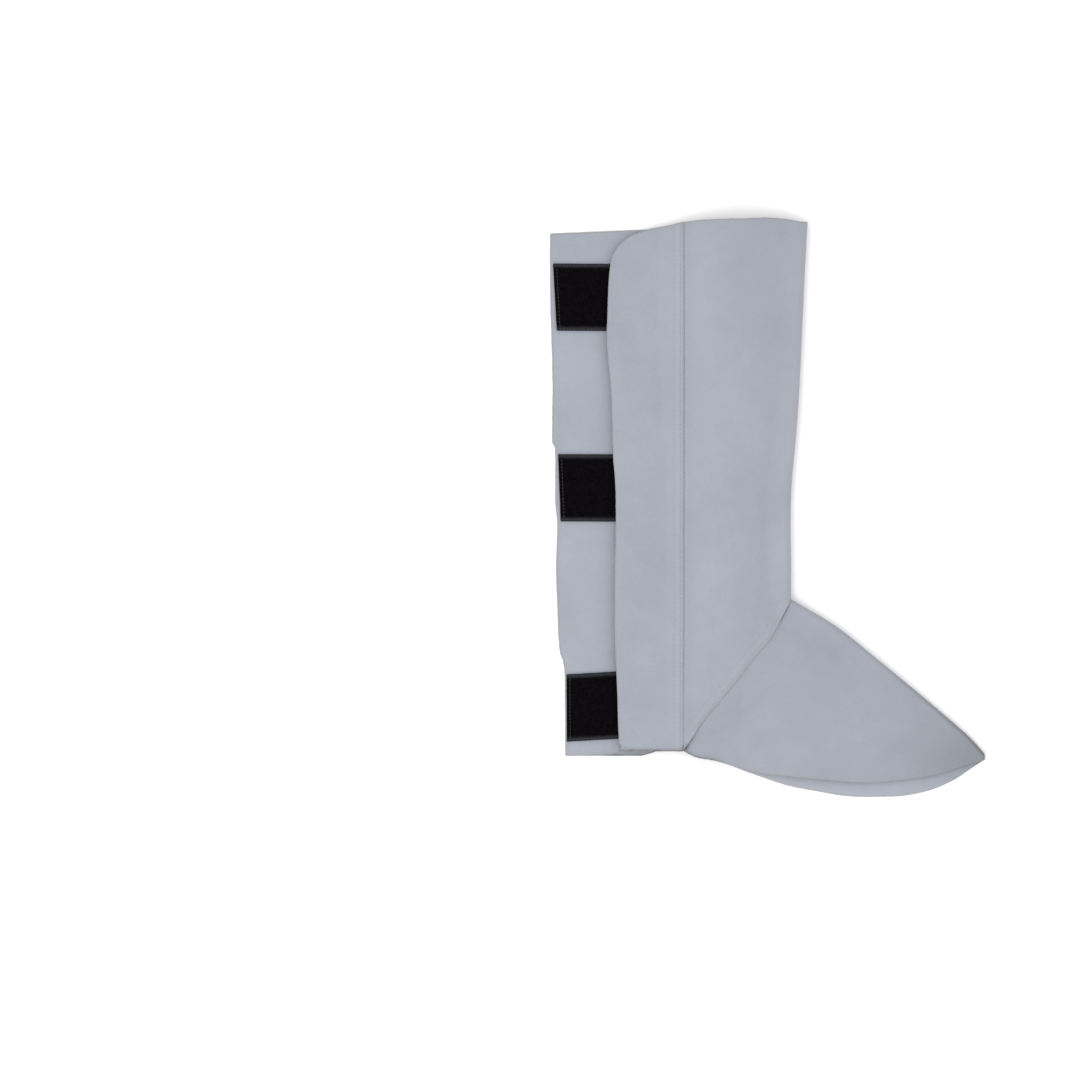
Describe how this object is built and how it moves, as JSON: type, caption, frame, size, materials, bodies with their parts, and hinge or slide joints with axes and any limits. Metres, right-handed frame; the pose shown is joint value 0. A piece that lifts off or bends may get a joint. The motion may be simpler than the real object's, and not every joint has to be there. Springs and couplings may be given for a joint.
{
  "type": "leather safety leg guard",
  "caption": "A leather leg guard for hot work, lying on its side: a shin and calf shaft closed at the back by hook and loop tapes, with a spat over the boot's instep.",
  "frame": {"origin": "under the middle of the guard's box, on the surface it lies on", "axes": "+Y runs up the leg to the knee, +X towards the toe, +Z from the lying inner side up to the outer side"},
  "size_m": [0.3238, 0.4302, 0.0268],
  "materials": {
    "leather": "suede-like split grain, pale cool grey",
    "loop_tape": "matte black loop pile",
    "hook_tape": "black hooks on a woven ground"
  },
  "bodies": {
    "root": {"closure_flap": "leather", "front_panel": "leather", "inner_panel": "leather", "spat_outer": "leather", "spat_inner": "leather", "loop_tape_knee": "loop_tape", "hook_tape_knee": "hook_tape", "loop_tape_calf": "loop_tape", "hook_tape_calf": "hook_tape", "loop_tape_ankle": "loop_tape", "hook_tape_ankle": "hook_tape"}
  },
  "joints": []
}
